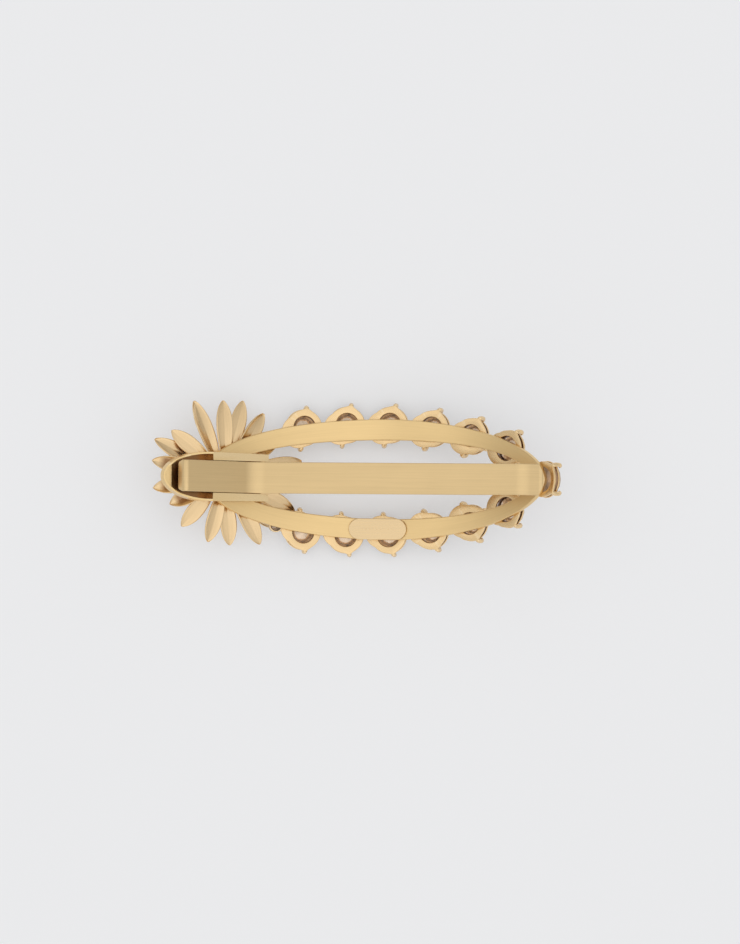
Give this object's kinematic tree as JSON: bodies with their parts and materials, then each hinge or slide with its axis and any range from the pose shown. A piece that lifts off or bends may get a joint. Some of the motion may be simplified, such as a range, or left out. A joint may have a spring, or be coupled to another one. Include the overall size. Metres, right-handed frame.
{
  "type": "barrette",
  "caption": "Bowed oval gold-tone barrette with round crystals in prong settings, a petal flower at one end and a sprung lever clasp on its back.",
  "frame": {"origin": "bottom centre of the whole barrette's bounding box, with the barrette lying on its crystals and its back facing up", "axes": "+X along the length from the clasp to the free tip, +Z out of the plain back, +Y across"},
  "size_m": [0.0886, 0.0336, 0.0257],
  "materials": {
    "band_gold": "satin gold-tone plating, finely brushed",
    "clasp_gold": "satin gold-tone plating, brushed lengthwise",
    "plaque_gold": "satin gold-tone plating",
    "setting_gold": "polished gold-tone plating",
    "petal_gold": "satin gold-tone plating",
    "pin_gold": "polished gold-tone plating",
    "spring_steel": "drawn wire",
    "crystal": "cut crystal with a faint rose-brown tint"
  },
  "bodies": {
    "frame": {"frame_band": "band_gold", "clasp_housing": "clasp_gold", "hinge_pin": "pin_gold", "torsion_spring": "spring_steel", "plaque": "plaque_gold", "flower_disc": "petal_gold", "flower_setting": "setting_gold", "flower_crystal": "crystal", "filler_setting": "setting_gold", "filler_crystal": "crystal", "setting_upper_1": "setting_gold", "setting_upper_2": "setting_gold", "setting_upper_3": "setting_gold", "setting_upper_4": "setting_gold", "setting_upper_5": "setting_gold", "setting_upper_6": "setting_gold", "setting_lower_1": "setting_gold", "setting_lower_2": "setting_gold", "setting_lower_3": "setting_gold", "setting_lower_4": "setting_gold", "setting_lower_5": "setting_gold", "setting_lower_6": "setting_gold", "setting_tip": "setting_gold", "crystal_upper_1": "crystal", "crystal_upper_2": "crystal", "crystal_upper_3": "crystal", "crystal_upper_4": "crystal", "crystal_upper_5": "crystal", "crystal_upper_6": "crystal", "crystal_lower_1": "crystal", "crystal_lower_2": "crystal", "crystal_lower_3": "crystal", "crystal_lower_4": "crystal", "crystal_lower_5": "crystal", "crystal_lower_6": "crystal", "crystal_tip": "crystal", "petal_01": "petal_gold", "petal_02": "petal_gold", "petal_03": "petal_gold", "petal_04": "petal_gold", "petal_05": "petal_gold", "petal_06": "petal_gold", "petal_07": "petal_gold", "petal_08": "petal_gold", "petal_09": "petal_gold", "petal_10": "petal_gold", "petal_11": "petal_gold", "petal_12": "petal_gold", "petal_13": "petal_gold", "petal_14": "petal_gold", "petal_15": "petal_gold", "petal_16": "petal_gold", "petal_17": "petal_gold", "petal_18": "petal_gold"},
    "arm": {"arm": "clasp_gold"}
  },
  "joints": [
    {"name": "arm_hinge", "type": "hinge", "parent": "frame", "child": "arm", "pos_m": [-0.02527, -0.00012, 0.01298], "axis": [0, -1, 0], "range_deg": [0, 6], "stiffness_Nm_per_rad": 0.02, "springref_deg": -20.05, "deforming": ["torsion_spring"]}
  ]
}
